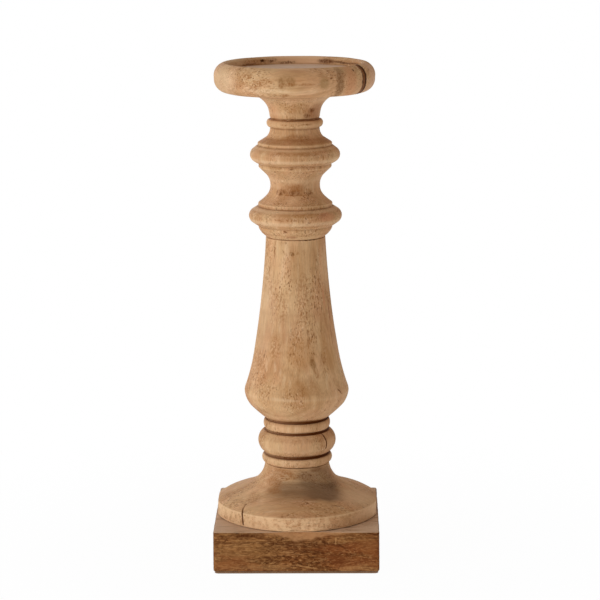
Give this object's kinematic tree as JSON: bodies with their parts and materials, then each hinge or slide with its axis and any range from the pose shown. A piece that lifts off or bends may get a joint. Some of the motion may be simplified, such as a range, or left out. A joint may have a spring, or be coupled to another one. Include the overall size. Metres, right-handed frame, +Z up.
{
  "type": "pillar candle stand",
  "caption": "Tall turned wooden candle stand: a square plinth, a round foot, a baluster with knops and a dished cup for a wide pillar candle.",
  "frame": {"origin": "centre of the underside, on the felt sheet", "axes": "+Z up along the turning axis; X and Y square to the plinth's sides, with the sawn flats of the foot facing +X and -X"},
  "size_m": [0.125, 0.125, 0.3783],
  "materials": {
    "felt": "pressed light brown felt, matt",
    "plinth_wood": "brown mango wood, sanded and waxed, low sheen",
    "screw_steel": "bright zinc plated",
    "foot_wood": "light mango wood, sanded and waxed, low sheen",
    "dowel_wood": "plain hardwood dowel, bare",
    "spindle_wood": "light mango wood, turned, sanded and waxed, low sheen",
    "cup_wood": "light mango wood with dark heart streaks, turned and waxed, low sheen"
  },
  "bodies": {
    "root": {"base_felt": "felt", "plinth": "plinth_wood", "plinth_screws": "screw_steel", "foot": "foot_wood", "foot_dowel": "dowel_wood", "baluster": "spindle_wood", "column_dowel": "dowel_wood", "column": "spindle_wood", "cup_dowel": "dowel_wood", "cup": "cup_wood"}
  },
  "joints": []
}
